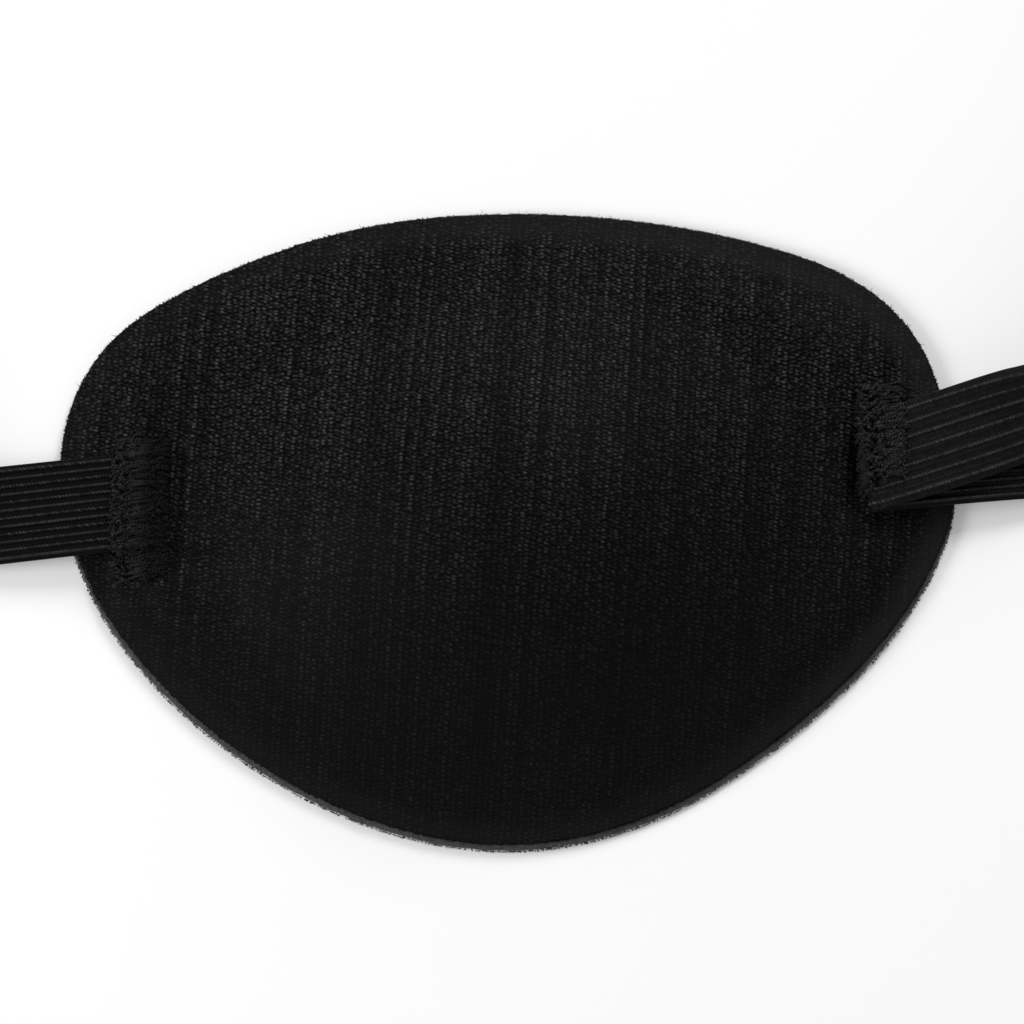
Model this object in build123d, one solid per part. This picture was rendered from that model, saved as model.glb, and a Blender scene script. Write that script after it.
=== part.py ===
from build123d import *
from math import atan2, cos, pi, radians, sin, sqrt, tan
import os

# An eye patch: a moulded three-layer pad, and one length of elastic that is bar-tacked to it at
# both sides. The elastic goes round the head, through a slider and back to its own tack.
# Frame: +X to the wearer's left as seen from outside, +Y up the face, +Z out of the face. The rim
# lies on Z = 0, and the origin is under the middle of the pad. All lengths are in millimetres.

# ---- the pad ----
CUP_HEIGHT = 13.0  # inside height of the cup over the rim
CUP_HALF_LENGTH = 31.4  # half the inside length of the cup at the rim
CUP_HALF_WIDTH = 26.4
CUP_FULLNESS = 2.2  # the higher, the flatter the top of the cup
CUP_EDGE_CUT = 0.3  # how far the cup's foot is cut away where it meets the rim's flat
DOME_STATIONS = 12  # points along the cup's profile
OUTLINE_STATIONS = 28  # points round the rim where it is moved inwards
OUTER_THICK = 0.5  # knitted face cloth
FOAM_THICK = 1.6
LINING_THICK = 0.5
RIM_WIDTH = 2.2  # width of the pressed band round the edge
SHOULDER_WIDTH = 2.2  # from the pressed band to full thickness
RIM_OUTER = 0.3  # the three layers where the rim is pressed flat
RIM_FOAM = 0.5
RIM_LINING = 0.3
FOAM_STEP = 0.5  # how far in from one layer's shoulder the next one's starts
LINING_STEP = 1.1

# ---- the elastic ----
ELASTIC_WIDTH = 9.4
ELASTIC_THICK = 1.0
SECTION_STEP = 2.4  # along the elastic, from one cross-section to the next where it bends
STRAND_GAP = 0.1  # between the two strands of the fold at the right tack
SEAT_GAP = 0.05  # between the face cloth and the elastic that lies on it
FOLD_X = 35.45  # the line about which the elastic is folded
FOLD_Y = 6.8
FOLD_TURN = 12.5  # degrees that the fold leans from straight across the pad
LEFT_END_X = -33.0
LEFT_END_Y = 3.3

# ---- the slider ----
SLIDER_X = 75.0  # the middle of the elastic where it runs straight through the slider
SLIDER_Y = 50.0
SLIDER_HALF_SPAN = 5.2  # from the centre bar to each outer bar, along the elastic
BAR_THICK = 1.2
RAIL_HEIGHT = 1.3
RAIL_ROUND = 0.3
SLIDER_PLAY = 0.2  # between the elastic's edges and the rails
BAR_PLAY = 0.15  # between the elastic and the bars it runs past
LOOP_PLAY = 0.1  # between the centre bar and the elastic sewn round it
LOOP_LEAN = 18.0  # degrees that the sewn loop leans away from the running elastic
SEWN_NEAR = 4.5  # where the two layers of the sewn loop meet, from the centre bar
SEWN_FAR = 8.5  # the cut end of the elastic, from the centre bar
LEAD_STRAIGHT = 16.0  # the lead's last run, in line with its sewn loop

# ---- the stitches ----
THREAD = 0.35
THREAD_PLAY = 0.05  # between a thread and the hole it goes through
STITCH_PITCH = 1.2
TACK_LENGTH = 6.3  # the left tack, along the elastic
TACK_HEIGHT = 13.2
LEFT_TACK_X = -35.4  # the middle of the left tack
LEFT_TACK_Y = 2.65
RIGHT_TACK_X = 38.5  # the right tack's rows end here, away from the fold
RIGHT_TACK_Y = 8.6
RIGHT_TACK_LENGTH = 3.0  # the rows that cross the elastic
RIGHT_TACK_LONG = 4.2  # the rows beside it
LEFT_REACH = 5.2  # rows nearer than this to the elastic's middle lie on it
RIGHT_REACH = 6.7
TACK_LIFT = 0.42  # how far the tacks pull the lining up off the face
LIFT_MARGIN = 0.3
SEAM_ROWS = 6
SEAM_LENGTH = 2.2

FLAT_SEAT = OUTER_THICK + FOAM_THICK + LINING_THICK + SEAT_GAP  # underside of elastic on the pad
LOWER_Z = FLAT_SEAT + ELASTIC_THICK / 2
UPPER_Z = LOWER_Z + ELASTIC_THICK + STRAND_GAP
FLAT_TOP = FLAT_SEAT - SEAT_GAP
STAND_Z = ELASTIC_WIDTH / 2  # middle of the elastic where it stands on its edge
STAND_LIFT = RAIL_HEIGHT + SLIDER_PLAY  # how far the slider's rail lifts it
SLIDER_Z = STAND_Z + STAND_LIFT
BAR_X = SLIDER_X - ELASTIC_THICK / 2 - BAR_PLAY - ELASTIC_THICK - LOOP_PLAY - BAR_THICK / 2

# The rim's outline, anticlockwise from the right-hand side.
OUTLINE = [
    (43.0, 3.0),
    (42.3, 11.0),
    (37.4, 21.6),
    (27.8, 27.0),
    (13.6, 30.2),
    (-3.0, 31.0),
    (-16.8, 29.1),
    (-29.2, 24.5),
    (-39.6, 17.2),
    (-42.95, 9.2),
    (-41.9, -2.2),
    (-35.8, -13.0),
    (-26.1, -21.9),
    (-13.6, -28.5),
    (0.0, -31.0),
    (13.6, -28.2),
    (25.4, -21.3),
    (35.0, -12.75),
    (41.1, -3.8),
]

# The elastic's routes: x, y and z of its middle, and how far it is rolled from flat, in degrees.
HEAD_ROUTE = [
    (LEFT_END_X, LEFT_END_Y, LOWER_Z, 0),
    (-39.6, 2.6, LOWER_Z, 0),
    (-60.2, 0.5, 1.8, 15),
    (-77.6, 15.7, 4.6, 72),
    (-79.8, 42.5, STAND_Z + 0.02 * STAND_LIFT, 90),
    (-68.0, 68.0, STAND_Z + 0.1 * STAND_LIFT, 90),
    (-47.5, 86.5, STAND_Z + 0.23 * STAND_LIFT, 90),
    (-14.0, 96.5, STAND_Z + 0.43 * STAND_LIFT, 90),
    (22.0, 97.5, STAND_Z + 0.67 * STAND_LIFT, 90),
    (55.8, 91.4, STAND_Z + 0.87 * STAND_LIFT, 90),
    (SLIDER_X, 74.0, SLIDER_Z, 90),
    (SLIDER_X, 25.8, SLIDER_Z, 90),
    (60.8, 8.9, 0.75, 0),
    (40.6, 7.3, LOWER_Z, 0),
    (FOLD_X, FOLD_Y, LOWER_Z, 0),
]
ALONG_LOOP = Vector(sin(radians(LOOP_LEAN)), cos(radians(LOOP_LEAN)))
ACROSS_LOOP = Vector(ALONG_LOOP.Y, -ALONG_LOOP.X)
LEAD_END = Vector(BAR_X, SLIDER_Y) - ALONG_LOOP * SEWN_NEAR - ACROSS_LOOP * (ELASTIC_THICK / 2)
LEAD_TURN = LEAD_END - ALONG_LOOP * LEAD_STRAIGHT
LEAD_ROUTE = [
    (FOLD_X, FOLD_Y, UPPER_Z, 0),
    (43.6, 9.8, UPPER_Z, 0),
    (56.2, 15.2, 7.25, 55),
    (LEAD_TURN.X, LEAD_TURN.Y, SLIDER_Z, 90),
    (LEAD_END.X, LEAD_END.Y, SLIDER_Z, 90),
]


# ---- the pad's layers ----
outline = Spline([Vector(x, y) for x, y in OUTLINE], periodic=True)


def ring(inset, height):
    """The rim's outline moved inwards by inset and up to height."""
    points = []
    for k in range(OUTLINE_STATIONS):
        place = outline @ (k / OUTLINE_STATIONS)
        along = outline % (k / OUTLINE_STATIONS)
        points.append(Vector(place.X - along.Y * inset, place.Y + along.X * inset, height))
    return Wire([Spline(points, periodic=True)])


def dome(offset, foot=0.0):
    """The solid below a domed surface that lies offset outside the cup's inner face."""
    curve = []
    for k in range(DOME_STATIONS + 1):
        reach = k / DOME_STATIONS
        fill = 1 - reach**CUP_FULLNESS
        fall = 2 * CUP_FULLNESS * fill * reach ** (CUP_FULLNESS - 1) * CUP_HEIGHT
        slope = 2 * fall / (CUP_HALF_LENGTH + CUP_HALF_WIDTH)
        z = (CUP_HEIGHT + foot) * fill**2 - foot + offset * sqrt(1 + slope**2)
        curve.append(Vector(CUP_HALF_LENGTH * reach, 0, z))
    under = min(0, curve[-1].Z) - (1 if foot else 0)
    top = Spline(curve, tangents=[(1, 0, 0), (1, 0, 0)])
    sides = Polyline([curve[-1], (CUP_HALF_LENGTH, 0, under), (0, 0, under), curve[0]])
    solid = revolve(make_face([top, sides]), Axis.Z)
    return scale(solid, by=(1, CUP_HALF_WIDTH / CUP_HALF_LENGTH, 1))


def flange(offset, rim_height, inset):
    """The flat of one layer round the cup, down to the table, pressed to rim_height at its edge."""
    slope = (offset - rim_height) / SHOULDER_WIDTH
    start = RIM_WIDTH + inset - rim_height / slope
    band = extrude(Face(ring(0, 0)), rim_height)
    body = Solid.make_loft([ring(start, 0), ring(start + offset / slope, offset)], ruled=True)
    middle = Cylinder(CUP_HALF_LENGTH, 2 * offset)
    return band + body - scale(middle, by=(1, CUP_HALF_WIDTH / CUP_HALF_LENGTH, 1))


def box_between(low, high):
    size = [b - a for a, b in zip(low, high)]
    middle = [(a + b) / 2 for a, b in zip(low, high)]
    return Pos(*middle) * Box(*size)


# ---- the stitches ----
def tack_rows(middle_y):
    count = int(TACK_HEIGHT / STITCH_PITCH)
    return [middle_y + (k - (count - 1) / 2) * STITCH_PITCH for k in range(count)]


def stitch(x0, x1, y, top, play=0.0):
    """One stitch of the needle thread: a bar on top and a leg at each end, down to the bobbin."""
    half = THREAD / 2 + play
    legs = [
        box_between((x - half, y - half, THREAD + THREAD_PLAY), (x + half, y + half, top + play))
        for x in (x0 + THREAD / 2, x1 - THREAD / 2)
    ]
    bar = box_between((x0 - play, y - half, top), (x1 + play, y + half, top + THREAD))
    return legs, bar


def bobbin(x0, x1, y):
    half = THREAD / 2
    return box_between((x0, y - half, THREAD_PLAY), (x1, y + half, THREAD + THREAD_PLAY))


left_rows, right_rows = [], []
for y in tack_rows(LEFT_TACK_Y):
    on_elastic = abs(y - LEFT_TACK_Y) < LEFT_REACH
    top = FLAT_SEAT + ELASTIC_THICK if on_elastic else FLAT_TOP
    left_rows.append((LEFT_TACK_X - TACK_LENGTH / 2, LEFT_TACK_X + TACK_LENGTH / 2, y, top))
for y in tack_rows(RIGHT_TACK_Y):
    on_elastic = y < FOLD_Y + RIGHT_REACH
    length = RIGHT_TACK_LENGTH if on_elastic else RIGHT_TACK_LONG
    top = UPPER_Z + ELASTIC_THICK / 2 if on_elastic else FLAT_TOP
    right_rows.append((RIGHT_TACK_X - length, RIGHT_TACK_X, y, top))

tacks = {}
holes, pockets, lifts = [], [], []
for side, rows in (("left", left_rows), ("right", right_rows)):
    needle = []
    for x0, x1, y, top in rows:
        legs, bar = stitch(x0, x1, y, top)
        needle.append(bar + legs[0] + legs[1])
        holes += stitch(x0, x1, y, top, THREAD_PLAY)[0]
    tacks[side + "_tack_needle_thread"] = Compound(label="needle", children=needle)
    bobbins = [bobbin(x0, x1, y) for x0, x1, y, _ in rows]
    tacks[side + "_tack_bobbin_thread"] = Compound(label="bobbin", children=bobbins)
    low = (min(r[0] for r in rows) - LIFT_MARGIN, rows[0][2] - LIFT_MARGIN)
    high = (max(r[1] for r in rows) + LIFT_MARGIN, rows[-1][2] + LIFT_MARGIN)
    pockets.append(box_between((*low, -1), (*high, TACK_LIFT)))
    low = [v - RIM_LINING for v in low]
    high = [v + RIM_LINING for v in high]
    lifts.append(box_between((*low, 0), (*high, TACK_LIFT + RIM_LINING)))

cloth_top = OUTER_THICK + FOAM_THICK + LINING_THICK
foam_top = FOAM_THICK + LINING_THICK
cloth_flange = flange(cloth_top, RIM_OUTER + RIM_FOAM + RIM_LINING, 0)
foam_flange = flange(foam_top, RIM_FOAM + RIM_LINING, FOAM_STEP)
lining_flange = flange(LINING_THICK, RIM_LINING, LINING_STEP) + lifts
cloth_dome, foam_dome, lining_dome = dome(cloth_top), dome(foam_top), dome(LINING_THICK)
outer_fabric = (cloth_flange - foam_flange - holes) + (cloth_dome - foam_dome)
foam_core = (foam_flange - lining_flange - holes) + (foam_dome - lining_dome)
lining_fabric = (lining_flange - pockets - holes) + lining_dome - dome(0, CUP_EDGE_CUT)


# ---- the elastic ----
def route_path(route):
    """Straight runs joined by tangent arcs, each as large as its two runs allow."""
    points = [Vector(x, y, z) for x, y, z, _ in route]
    runs = [b - a for a, b in zip(points, points[1:])]
    radii = []
    for before, after in zip(runs, runs[1:]):
        turn = radians(before.get_angle(after))
        radii.append(0.45 * min(before.length, after.length) / tan(turn / 2))
    print("radii", [round(r, 1) for r in radii])
    return FilletPolyline(points, radius=radii)


def roll_at(route, place):
    """The elastic's roll at a place on its path, from the nearest run of its route."""
    best = None
    for (x0, y0, z0, roll0), (x1, y1, z1, roll1) in zip(route, route[1:]):
        start, run = Vector(x0, y0, z0), Vector(x1 - x0, y1 - y0, z1 - z0)
        share = min(1.0, max(0.0, (place - start).dot(run) / run.dot(run)))
        away = (place - start - run * share).length
        if best is None or away < best[0]:
            best = (away, roll0 + share * (roll1 - roll0))
    return best[1]


def section(middle, along, roll, side):
    """The elastic's cross-section, rolled from flat; side is -1 where its raised edge is on the right."""
    left = Vector(0, 0, 1).cross(along).normalized()
    width = left * (side * cos(radians(roll))) + along.cross(left) * sin(radians(roll))
    lowest = (abs(width.Z) * ELASTIC_WIDTH + cos(radians(roll)) * ELASTIC_THICK) / 2
    place = Vector(middle.X, middle.Y, max(middle.Z, lowest))
    return (Plane(place, x_dir=width, z_dir=along) * Rectangle(ELASTIC_WIDTH, ELASTIC_THICK)).wire()


def elastic_sections(route, side):
    """Cross-sections along a route, close together where the elastic turns or rolls."""
    path = route_path(route)
    count = int(path.length / SECTION_STEP)
    stations = []
    for k in range(count + 1):
        place = path @ (k / count)
        stations.append((place, path % (k / count), roll_at(route, place)))
    kept = [stations[0]]
    for before, here, after in zip(stations, stations[1:], stations[2:]):
        straight = max(before[1].get_angle(here[1]), here[1].get_angle(after[1])) < 0.01
        if not straight or abs(after[2] - before[2]) > 0.01:
            kept.append(here)
    kept.append(stations[-1])
    print("elastic length", round(path.length, 1), "sections", len(kept))
    return [section(place, along, roll, side) for place, along, roll in kept]


def fold_sections(count=8):
    """The lower strand's end turned over onto the upper strand, about a line across the pad."""
    across = Vector(cos(radians(90 + FOLD_TURN)), sin(radians(90 + FOLD_TURN)), 0)
    outward = Vector(cos(radians(FOLD_TURN)), sin(radians(FOLD_TURN)), 0)
    middle = Vector(FOLD_X, FOLD_Y, (LOWER_Z + UPPER_Z) / 2)
    radius = (UPPER_Z - LOWER_Z) / 2
    wires = []
    for k in range(count + 1):
        turn = pi * k / count
        place = middle - outward * (radius * sin(turn)) - Vector(0, 0, radius * cos(turn))
        along = Vector(0, 0, sin(turn)) - outward * cos(turn)
        plane = Plane(place, x_dir=across, z_dir=along)
        wires.append((plane * Rectangle(ELASTIC_WIDTH, ELASTIC_THICK)).wire())
    return wires


folds = fold_sections()
head_sections = elastic_sections(HEAD_ROUTE, -1)
head_strap = Solid.make_loft(head_sections[:-1] + folds, ruled=True) - holes

# The lead's far end is sewn round the slider's centre bar.
lead_sections = elastic_sections(LEAD_ROUTE, 1)
loop_radius = BAR_THICK / 2 + LOOP_PLAY + ELASTIC_THICK / 2
half = ELASTIC_THICK / 2
loop_plane = Plane((BAR_X, SLIDER_Y, SLIDER_Z - STAND_Z), x_dir=ALONG_LOOP, z_dir=(0, 0, 1))
meet = atan2(loop_radius - half, SEWN_NEAR)
tangent = pi / 2 + meet
touch = (loop_radius * cos(tangent), loop_radius * sin(tangent))
near_run = Line((-SEWN_NEAR, half), touch)
round_bar = ThreePointArc(touch, (loop_radius, 0), (touch[0], -touch[1]))
far_run = Line((touch[0], -touch[1]), (-SEWN_NEAR, -half))
tail = Line((-SEWN_NEAR, -half), (-SEWN_FAR, -half))
loop_face = trace(Wire([near_run, round_bar, far_run, tail]), ELASTIC_THICK)
sewn_loop = loop_plane * extrude(loop_face, ELASTIC_WIDTH)
slider_lead = Solid.make_loft([folds[-1]] + lead_sections[1:], ruled=True) + sewn_loop


def seam_box(low, high):
    return loop_plane * box_between(low, high)


seam, seam_holes = [], []
seam_start = -(SEWN_NEAR + SEWN_FAR + SEAM_LENGTH) / 2
for k in range(SEAM_ROWS):
    w = ELASTIC_WIDTH * (k + 0.5) / SEAM_ROWS
    low_w, high_w = w - THREAD / 2, w + THREAD / 2
    ends = (seam_start, seam_start + SEAM_LENGTH - THREAD)
    for a in ends:
        seam.append(seam_box((a, -ELASTIC_THICK, low_w), (a + THREAD, ELASTIC_THICK, high_w)))
        low = (a - THREAD_PLAY, -2 * ELASTIC_THICK, low_w - THREAD_PLAY)
        high = (a + THREAD + THREAD_PLAY, 2 * ELASTIC_THICK, high_w + THREAD_PLAY)
        seam_holes.append(seam_box(low, high))
    for side in (-ELASTIC_THICK - THREAD, ELASTIC_THICK):
        seam.append(seam_box((ends[0], side, low_w), (ends[1] + THREAD, side + THREAD, high_w)))
slider_seam = Part() + seam
slider_lead = slider_lead - seam_holes - holes

# ---- the slider ----
bar_radius = BAR_THICK / 2
outer_bar_x = SLIDER_X + ELASTIC_THICK / 2 + BAR_PLAY + bar_radius
bars = [
    (outer_bar_x, SLIDER_Y - SLIDER_HALF_SPAN),
    (BAR_X, SLIDER_Y),
    (outer_bar_x, SLIDER_Y + SLIDER_HALF_SPAN),
]
inside = ELASTIC_WIDTH + 2 * SLIDER_PLAY
discs = Sketch() + [Pos(x, y) * Circle(bar_radius) for x, y in bars]
rail = extrude(make_hull(discs.edges()), RAIL_HEIGHT)
rail_faces = rail.faces().sort_by(Axis.Z)
rail = fillet(rail_faces[0].edges() + rail_faces[-1].edges(), RAIL_ROUND)
post = Cylinder(bar_radius, inside + RAIL_HEIGHT)
posts = [Pos(x, y, RAIL_HEIGHT + inside / 2) * post for x, y in bars]
slider = rail + Pos(0, 0, RAIL_HEIGHT + inside) * rail + posts

nodes = {
    "outer_fabric": outer_fabric,
    "foam_core": foam_core,
    "lining_fabric": lining_fabric,
    **tacks,
    "head_strap": head_strap,
    "slider_lead": slider_lead,
    "slider_seam": slider_seam,
    "slider": slider,
}
os.makedirs("parts", exist_ok=True)
for name, shape in nodes.items():
    export_step(shape, f"parts/{name}.step")
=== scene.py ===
import math
import random

import bmesh
import bpy
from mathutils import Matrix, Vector, kdtree, noise
from mathutils.bvhtree import BVHTree


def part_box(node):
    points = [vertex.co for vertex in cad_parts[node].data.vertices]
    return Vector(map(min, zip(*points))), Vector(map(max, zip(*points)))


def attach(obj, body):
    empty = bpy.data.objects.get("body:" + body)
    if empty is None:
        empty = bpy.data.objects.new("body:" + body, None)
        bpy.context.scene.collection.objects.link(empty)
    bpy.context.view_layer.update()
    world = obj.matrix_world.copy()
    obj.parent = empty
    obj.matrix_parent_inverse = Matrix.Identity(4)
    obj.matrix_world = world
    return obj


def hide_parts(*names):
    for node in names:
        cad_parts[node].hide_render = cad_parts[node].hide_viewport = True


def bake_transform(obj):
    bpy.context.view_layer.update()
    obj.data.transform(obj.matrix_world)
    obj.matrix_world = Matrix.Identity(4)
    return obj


# An eye patch: a moulded pad of face cloth, foam and lining, bar-tacked at both sides to one flat
# elastic that goes round the head and back through a slider. Lengths are in metres.
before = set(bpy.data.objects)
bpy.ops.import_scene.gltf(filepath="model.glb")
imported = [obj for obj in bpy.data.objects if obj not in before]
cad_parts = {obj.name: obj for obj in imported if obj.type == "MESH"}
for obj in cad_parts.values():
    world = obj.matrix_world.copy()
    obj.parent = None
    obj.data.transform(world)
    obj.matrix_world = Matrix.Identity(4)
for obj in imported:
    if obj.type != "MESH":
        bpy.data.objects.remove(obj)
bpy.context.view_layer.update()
scene = bpy.context.scene
scene.view_settings.view_transform = "Standard"


# ---- Camera: it looks down on the patch from a little below its lower rim, as over a table, and
# takes in the whole pad and the first stretch of elastic at each side.
CAMERA_TARGET = Vector((0.00034, 0.00184, 0.0))
CAMERA_DISTANCE = 0.42
CAMERA_RISE = math.radians(80)
VIEW_WIDTH = 0.0993

camera = bpy.data.objects.new("camera", bpy.data.cameras.new("camera"))
scene.collection.objects.link(camera)
scene.camera = camera
camera.data.sensor_width = 36
camera.data.lens = camera.data.sensor_width * CAMERA_DISTANCE / VIEW_WIDTH
camera.data.clip_start = 0.01
back = Vector((0, -math.cos(CAMERA_RISE), math.sin(CAMERA_RISE)))
camera.location = CAMERA_TARGET + back * CAMERA_DISTANCE
camera.rotation_euler = (-back).to_track_quat("-Z", "Y").to_euler()


# ---- Head elastic: flat black braid, ribbed by the rubber strands in it. One end is under the left
# tack. It goes round behind the pad on its edge, through the slider to the right tack, and is folded
# over there.
ELASTIC_WIDTH = 0.0094
ELASTIC_THICK = 0.001
RIB_COUNT = 12  # on the ribbed face, smooth and corded ribs by turns
RIB_PITCH = 0.00076
RIB_GROOVE = 0.00024  # half the thickness in a groove
RIB_RISE = 0.00026
# narrow cords on the other face, which is flat between them
CORD_PITCH = 0.00132
CORD_GROUND = 0.00034
CORD_RISE = 0.00015
GROUND_PITCH = 0.00024  # the fine weft between the cords
SAMPLES_ACROSS = 104
STATION_STEP = 0.0011
ROUTE_SAMPLES = 64  # points read from each stretch of a route
# x, y and z of the elastic's middle, and how far it is rolled from flat, in degrees
HEAD_ROUTE = [
    (-0.0330, 0.0027, 0.00315, 0),
    (-0.0396, 0.0020, 0.00315, 0),
    (-0.0602, -0.0001, 0.0018, 15),
    (-0.0776, 0.0157, 0.0046, 72),
    (-0.0798, 0.0425, 0.00473, 90),
    (-0.0680, 0.0680, 0.00485, 90),
    (-0.0475, 0.0865, 0.00505, 90),
    (-0.0140, 0.0965, 0.00535, 90),
    (0.0220, 0.0975, 0.0057, 90),
    (0.0558, 0.0914, 0.0060, 90),
    (0.0750, 0.0740, 0.0062, 90),
    (0.0750, 0.0258, 0.0062, 90),
    (0.0608, 0.0085, 0.00075, 0),
    (0.0406, 0.0066, 0.00315, 0),
    (0.0350, 0.0059, 0.00315, 0),
]
FOLD_MIDDLE = Vector((0.0350, 0.0059, 0.0037))
FOLD_RADIUS = 0.00055
FOLD_LEAN = math.radians(8)
FOLD_STEPS = 12


def add_node(tree, kind, **settings):
    """A shader node. A setting that names an input is its value, or the output that feeds it."""
    made = tree.nodes.new(kind)
    inputs = settings.pop("inputs", {})
    for name, value in settings.items():
        setattr(made, name, value)
    for name, value in inputs.items():
        if isinstance(value, bpy.types.NodeSocket):
            tree.links.new(value, made.inputs[name])
        else:
            made.inputs[name].default_value = value
    return made


def calculate(tree, operation, *values, clamp=False):
    """The output of a Math node."""
    inputs = dict(enumerate(values))
    return add_node(tree, "ShaderNodeMath", operation=operation, use_clamp=clamp, inputs=inputs).outputs[0]


def product(tree, *values, clamp=False):
    return calculate(tree, "MULTIPLY", *values, clamp=clamp)


def total(tree, *values):
    return calculate(tree, "ADD", *values)


def less(tree, *values, clamp=False):
    return calculate(tree, "SUBTRACT", *values, clamp=clamp)


def ratio(tree, *values):
    return calculate(tree, "DIVIDE", *values)


def noise_over(tree, place, scale, detail):
    """A noise texture's value over the surface."""
    inputs = {"Vector": place, "Scale": scale, "Detail": detail}
    return add_node(tree, "ShaderNodeTexNoise", inputs=inputs).outputs["Fac"]


def object_place(tree):
    return add_node(tree, "ShaderNodeTexCoord").outputs["Object"]


def strand_place(tree):
    """The piece's own UV map, in metres across and along its strands."""
    lengths = add_node(tree, "ShaderNodeUVMap", uv_map="UVMap").outputs[0]
    parts = add_node(tree, "ShaderNodeSeparateXYZ", inputs={0: lengths})
    return parts.outputs["X"], parts.outputs["Y"]


def tinted(tree, color, share):
    """A colour made lighter or darker by a share that changes over the surface."""
    inputs = {0: 1.0, 6: color, 7: share}
    return add_node(tree, "ShaderNodeMix", data_type="RGBA", blend_type="MULTIPLY", inputs=inputs).outputs[2]


def cover(tree, shader, color, height, strength, depth):
    """Gives a shader its colour and its relief, which is as deep as depth in metres."""
    inputs = {"Strength": strength, "Distance": depth, "Height": height}
    bump = add_node(tree, "ShaderNodeBump", inputs=inputs)
    tree.links.new(color, shader.inputs["Base Color"])
    tree.links.new(bump.outputs[0], shader.inputs["Normal"])


def node_group(name, wanted, given):
    """A shader node group, with the sockets that its inputs and its outputs are read and fed by."""
    tree = bpy.data.node_groups.new(name, "ShaderNodeTree")
    for way, sockets in (("INPUT", wanted), ("OUTPUT", given)):
        for label, kind in sockets.items():
            tree.interface.new_socket(label, in_out=way, socket_type="NodeSocket" + kind)
    return tree, tree.nodes.new("NodeGroupInput").outputs, tree.nodes.new("NodeGroupOutput").inputs


def new_material(name, roughness, specular, sheen=0.0, sheen_roughness=0.5):
    """A material whose plain values sit on the shader's own sockets."""
    material = bpy.data.materials.new(name)
    material.use_nodes = True
    shader = material.node_tree.nodes["Principled BSDF"]
    shader.inputs["Roughness"].default_value = roughness
    shader.inputs["Specular IOR Level"].default_value = specular
    shader.inputs["Sheen Weight"].default_value = sheen
    shader.inputs["Sheen Roughness"].default_value = sheen_roughness
    return material, material.node_tree, shader


def place_group(tree, group, **inputs):
    made = tree.nodes.new("ShaderNodeGroup")
    made.node_tree = group
    for name, value in inputs.items():
        socket = made.inputs[name.replace("_", " ")]
        if isinstance(value, bpy.types.NodeSocket):
            tree.links.new(value, socket)
        else:
            socket.default_value = value
    return made


def grey(value, warmth=0.0):
    return (value * (1 + warmth), value, value * (1 - warmth), 1)


# Uneven dye and lint: a slow mottle, and rare pale specks of fibre.
LINT_SCALE = 5200.0
LINT_FROM = 0.70  # only the noise above this shows as lint
LINT_GAIN = 8.0

mottle, mottle_in, mottle_out = node_group(
    "dye mottle",
    {"Vector": "Vector", "Dark": "Color", "Light": "Color", "Patch Size": "Float"},
    {"Color": "Color", "Speck": "Float"},
)
frequency = ratio(mottle, 1.0, mottle_in["Patch Size"])
slow = noise_over(mottle, mottle_in["Vector"], frequency, 3.0)
inputs = {0: slow, 6: mottle_in["Dark"], 7: mottle_in["Light"]}
blended = add_node(mottle, "ShaderNodeMix", data_type="RGBA", inputs=inputs)
lint = noise_over(mottle, mottle_in["Vector"], LINT_SCALE, 1.0)
speck = product(mottle, less(mottle, lint, LINT_FROM), LINT_GAIN, clamp=True)
mottle.links.new(blended.outputs[2], mottle_out["Color"])
mottle.links.new(speck, mottle_out["Speck"])


def dyed(tree, place, dark, light, patch):
    """Uneven dye between two greys, in patches of about this size."""
    return place_group(tree, mottle, Vector=place, Dark=dark, Light=light, Patch_Size=patch).outputs


# A corded strand: a row of slanted turns, each with a painted highlight on its crest, as bright as its own
# fibres happen to lie, and painted shade between the turns.
cording, cording_in, cording_out = node_group(
    "corded strand",
    {"Across": "Float", "Along": "Float", "Strand": "Float", "Pitch": "Float", "Slant": "Float"},
    {"Height": "Float", "Light": "Float"},
)
slanted = product(cording, cording_in["Across"], cording_in["Slant"])
reach = total(cording, cording_in["Along"], slanted)
turns = ratio(cording, reach, cording_in["Pitch"])
ply = calculate(cording, "ABSOLUTE", calculate(cording, "SINE", product(cording, turns, math.pi)))
inputs = {"X": calculate(cording, "FLOOR", turns), "Y": cording_in["Strand"]}
cell = add_node(cording, "ShaderNodeCombineXYZ", inputs=inputs)
inputs = {"Vector": cell.outputs[0]}
fibres = add_node(cording, "ShaderNodeTexWhiteNoise", noise_dimensions="2D", inputs=inputs)
luck = total(cording, product(cording, fibres.outputs["Value"], 0.8), 0.2)
cording.links.new(calculate(cording, "POWER", ply, 0.7), cording_out["Height"])
lit_ply = product(cording, calculate(cording, "POWER", ply, 1.6), luck)
cording.links.new(lit_ply, cording_out["Light"])

braid, tree, shader = new_material(
    "ribbed braid", roughness=0.5, specular=0.05, sheen=0.02, sheen_roughness=0.4
)
across, along = strand_place(tree)
on_ribs = calculate(tree, "GREATER_THAN", across, ELASTIC_WIDTH)
from_edge = calculate(tree, "MODULO", across, ELASTIC_WIDTH)
from_middle = less(tree, from_edge, ELASTIC_WIDTH / 2)
rib_at = total(tree, ratio(tree, from_middle, RIB_PITCH), (RIB_COUNT - 1) / 2)
rib = calculate(tree, "MAXIMUM", calculate(tree, "COSINE", product(tree, rib_at, 2 * math.pi)), 0.0)
rib_number = calculate(tree, "ROUND", rib_at)
by_turns = calculate(tree, "COSINE", product(tree, rib_number, math.pi))
corded = product(tree, rib, calculate(tree, "GREATER_THAN", by_turns, 0.0))
smooth = less(tree, rib, corded)
cord_at = ratio(tree, from_middle, CORD_PITCH)
cord = calculate(tree, "COSINE", product(tree, cord_at, 2 * math.pi))
cord = calculate(tree, "POWER", calculate(tree, "MAXIMUM", cord, 0.0), 5.0)
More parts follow.
